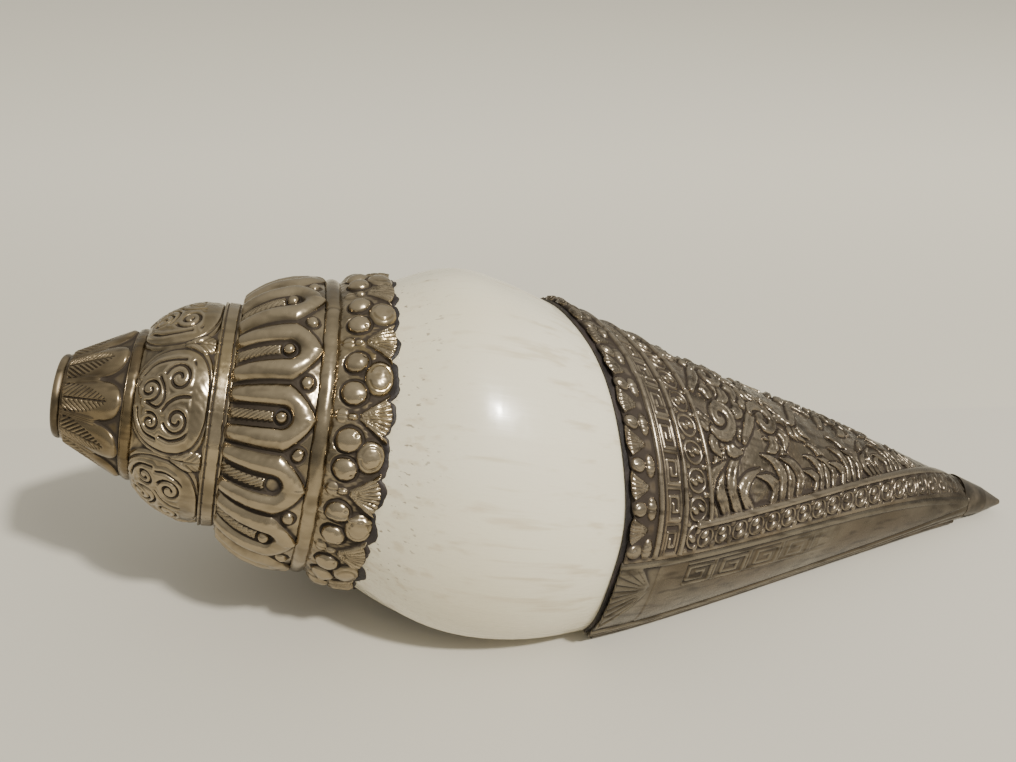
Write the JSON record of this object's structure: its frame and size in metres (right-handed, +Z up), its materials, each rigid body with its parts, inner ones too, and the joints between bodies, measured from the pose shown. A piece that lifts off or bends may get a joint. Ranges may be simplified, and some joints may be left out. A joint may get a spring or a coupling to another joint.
{
  "type": "conch trumpet",
  "caption": "Natural conch-shell trumpet with a tiered repousse metal mouth cap and a pointed metal sheath over the siphonal canal",
  "frame": {"origin": "middle of the underside's footprint as the trumpet rests on a table, at table height", "axes": "+X from the mouth rim towards the canal tip, +Y away from the outer lip (back), +Z up; the coiling axis dips 12.1 degrees towards the tip"},
  "size_m": [0.2168, 0.0768, 0.0691],
  "materials": {
    "mouth_rim_wire": "satin",
    "mouth_cup": "satin",
    "blow_tube": "satin",
    "petal_cone": "satin",
    "cone_ring": "satin",
    "scroll_dome": "satin",
    "strap_band": "satin",
    "lotus_tier": "satin",
    "plain_band": "satin",
    "floral_collar": "satin",
    "cap_pitch": "matte",
    "conch_shell": "satin",
    "sheath_pitch": "matte",
    "dorsal_sheath": "satin",
    "lip_sheet": "satin",
    "columella_sheet": "satin",
    "lip_edge_wire": "satin",
    "inner_edge_wire": "satin",
    "tip_cap": "satin"
  },
  "bodies": {
    "root": {"mouth_rim_wire": "mouth_rim_wire", "mouth_cup": "mouth_cup", "blow_tube": "blow_tube", "petal_cone": "petal_cone", "cone_ring": "cone_ring", "scroll_dome": "scroll_dome", "strap_band": "strap_band", "lotus_tier": "lotus_tier", "plain_band": "plain_band", "floral_collar": "floral_collar", "cap_pitch": "cap_pitch", "conch_shell": "conch_shell", "sheath_pitch": "sheath_pitch", "dorsal_sheath": "dorsal_sheath", "lip_sheet": "lip_sheet", "columella_sheet": "columella_sheet", "lip_edge_wire": "lip_edge_wire", "inner_edge_wire": "inner_edge_wire", "tip_cap": "tip_cap"}
  },
  "joints": []
}
